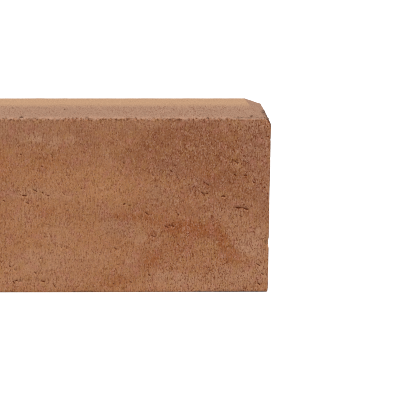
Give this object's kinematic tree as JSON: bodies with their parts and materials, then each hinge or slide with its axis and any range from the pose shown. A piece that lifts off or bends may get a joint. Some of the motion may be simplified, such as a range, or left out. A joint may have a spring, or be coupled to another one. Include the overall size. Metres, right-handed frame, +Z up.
{
  "type": "garden kerb",
  "caption": "Straight concrete garden kerb with a bevelled top front arris, set upright on edge to border beds, lawns and paths.",
  "frame": {"origin": "middle of the flat base, on the surface that the kerb stands on", "axes": "+X along the kerb towards its worn end, +Y from the bevelled front face to the plain back face, +Z up from the base to the top face"},
  "size_m": [1, 0.08, 0.25],
  "materials": {
    "concrete": "matte"
  },
  "bodies": {
    "root": {"kerb": "concrete"}
  },
  "joints": []
}
